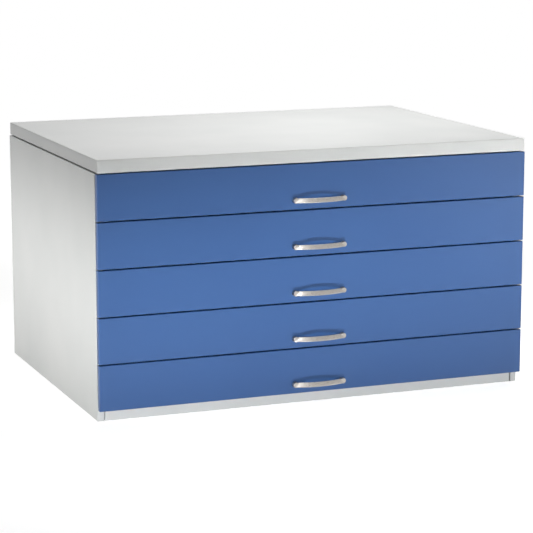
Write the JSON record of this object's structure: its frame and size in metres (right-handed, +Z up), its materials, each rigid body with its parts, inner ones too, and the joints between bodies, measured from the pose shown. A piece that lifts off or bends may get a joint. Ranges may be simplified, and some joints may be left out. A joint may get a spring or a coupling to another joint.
{
  "type": "flat file cabinet",
  "caption": "Low steel plan chest with full-width sliding drawers for large flat sheets, overlaid fronts with bow handles, a flat skirted top and a plinth.",
  "frame": {"origin": "on the floor, under the middle of the cabinet's box (bow handles and rear screw heads included)", "axes": "+X to the viewer's right along the width, drawers open towards -Y, +Z up"},
  "size_m": [1.35, 0.992, 0.76],
  "materials": {
    "carcass_paint": "light grey powder coat, fine satin texture",
    "front_paint": "gentian-blue powder coat, satin",
    "tray_paint": "light grey powder coat, satin",
    "handle_metal": "satin nickel plate",
    "slide_steel": "bright zinc plate",
    "galvanised_steel": "galvanised",
    "screw_steel": "zinc plated",
    "foot_plastic": "black nylon",
    "buffer_rubber": "black rubber"
  },
  "bodies": {
    "root": {"left_side_panel": "carcass_paint", "right_side_panel": "carcass_paint", "back_panel": "carcass_paint", "base_panel": "carcass_paint", "plinth_panel": "carcass_paint", "top_plate": "carcass_paint", "top_front_rail": "galvanised_steel", "top_mid_rail": "galvanised_steel", "top_rear_rail": "galvanised_steel", "slide_uprights": "galvanised_steel", "outer_slides": "slide_steel", "levelling_feet": "foot_plastic", "front_buffers": "buffer_rubber", "panel_screws": "screw_steel"},
    "drawer_1": {"drawer_tray_1": "tray_paint", "drawer_front_1": "front_paint", "handle_1": "handle_metal", "handle_screws_1": "screw_steel", "inner_slides_1": "slide_steel", "rear_hood_1": "tray_paint", "flap_rod_1": "screw_steel"},
    "slides_1": {"middle_slides_1": "slide_steel"},
    "flap_1": {"hold_down_flap_1": "tray_paint"},
    "drawer_2": {"drawer_tray_2": "tray_paint", "drawer_front_2": "front_paint", "handle_2": "handle_metal", "handle_screws_2": "screw_steel", "inner_slides_2": "slide_steel", "rear_hood_2": "tray_paint", "flap_rod_2": "screw_steel"},
    "slides_2": {"middle_slides_2": "slide_steel"},
    "flap_2": {"hold_down_flap_2": "tray_paint"},
    "drawer_3": {"drawer_tray_3": "tray_paint", "drawer_front_3": "front_paint", "handle_3": "handle_metal", "handle_screws_3": "screw_steel", "inner_slides_3": "slide_steel", "rear_hood_3": "tray_paint", "flap_rod_3": "screw_steel"},
    "slides_3": {"middle_slides_3": "slide_steel"},
    "flap_3": {"hold_down_flap_3": "tray_paint"},
    "drawer_4": {"drawer_tray_4": "tray_paint", "drawer_front_4": "front_paint", "handle_4": "handle_metal", "handle_screws_4": "screw_steel", "inner_slides_4": "slide_steel", "rear_hood_4": "tray_paint", "flap_rod_4": "screw_steel"},
    "slides_4": {"middle_slides_4": "slide_steel"},
    "flap_4": {"hold_down_flap_4": "tray_paint"},
    "drawer_5": {"drawer_tray_5": "tray_paint", "drawer_front_5": "front_paint", "handle_5": "handle_metal", "handle_screws_5": "screw_steel", "inner_slides_5": "slide_steel", "rear_hood_5": "tray_paint", "flap_rod_5": "screw_steel"},
    "slides_5": {"middle_slides_5": "slide_steel"},
    "flap_5": {"hold_down_flap_5": "tray_paint"}
  },
  "joints": [
    {"name": "drawer_1_slide", "type": "slide", "parent": "root", "child": "drawer_1", "axis": [0, -1, 0], "range_m": [0, 0.87]},
    {"name": "middle_1_slide", "type": "slide", "parent": "root", "child": "slides_1", "axis": [0, -1, 0], "range_m": [0, 0.435]},
    {"name": "flap_1_hinge", "type": "hinge", "parent": "drawer_1", "child": "flap_1", "pos_m": [0, -0.436, 0.61], "axis": [1, 0, 0], "range_deg": [0, 88]},
    {"name": "drawer_2_slide", "type": "slide", "parent": "root", "child": "drawer_2", "axis": [0, -1, 0], "range_m": [0, 0.87]},
    {"name": "middle_2_slide", "type": "slide", "parent": "root", "child": "slides_2", "axis": [0, -1, 0], "range_m": [0, 0.435]},
    {"name": "flap_2_hinge", "type": "hinge", "parent": "drawer_2", "child": "flap_2", "pos_m": [0, -0.436, 0.4725], "axis": [1, 0, 0], "range_deg": [0, 88]},
    {"name": "drawer_3_slide", "type": "slide", "parent": "root", "child": "drawer_3", "axis": [0, -1, 0], "range_m": [0, 0.87]},
    {"name": "middle_3_slide", "type": "slide", "parent": "root", "child": "slides_3", "axis": [0, -1, 0], "range_m": [0, 0.435]},
    {"name": "flap_3_hinge", "type": "hinge", "parent": "drawer_3", "child": "flap_3", "pos_m": [0, -0.436, 0.335], "axis": [1, 0, 0], "range_deg": [0, 88]},
    {"name": "drawer_4_slide", "type": "slide", "parent": "root", "child": "drawer_4", "axis": [0, -1, 0], "range_m": [0, 0.87]},
    {"name": "middle_4_slide", "type": "slide", "parent": "root", "child": "slides_4", "axis": [0, -1, 0], "range_m": [0, 0.435]},
    {"name": "flap_4_hinge", "type": "hinge", "parent": "drawer_4", "child": "flap_4", "pos_m": [0, -0.436, 0.1975], "axis": [1, 0, 0], "range_deg": [0, 88]},
    {"name": "drawer_5_slide", "type": "slide", "parent": "root", "child": "drawer_5", "axis": [0, -1, 0], "range_m": [0, 0.87]},
    {"name": "middle_5_slide", "type": "slide", "parent": "root", "child": "slides_5", "axis": [0, -1, 0], "range_m": [0, 0.435]},
    {"name": "flap_5_hinge", "type": "hinge", "parent": "drawer_5", "child": "flap_5", "pos_m": [0, -0.436, 0.06], "axis": [1, 0, 0], "range_deg": [0, 88]}
  ],
  "couplings": [
    {"joint": "middle_1_slide", "follows": "drawer_1_slide", "ratio": 0.5},
    {"joint": "middle_2_slide", "follows": "drawer_2_slide", "ratio": 0.5},
    {"joint": "middle_3_slide", "follows": "drawer_3_slide", "ratio": 0.5},
    {"joint": "middle_4_slide", "follows": "drawer_4_slide", "ratio": 0.5},
    {"joint": "middle_5_slide", "follows": "drawer_5_slide", "ratio": 0.5}
  ]
}
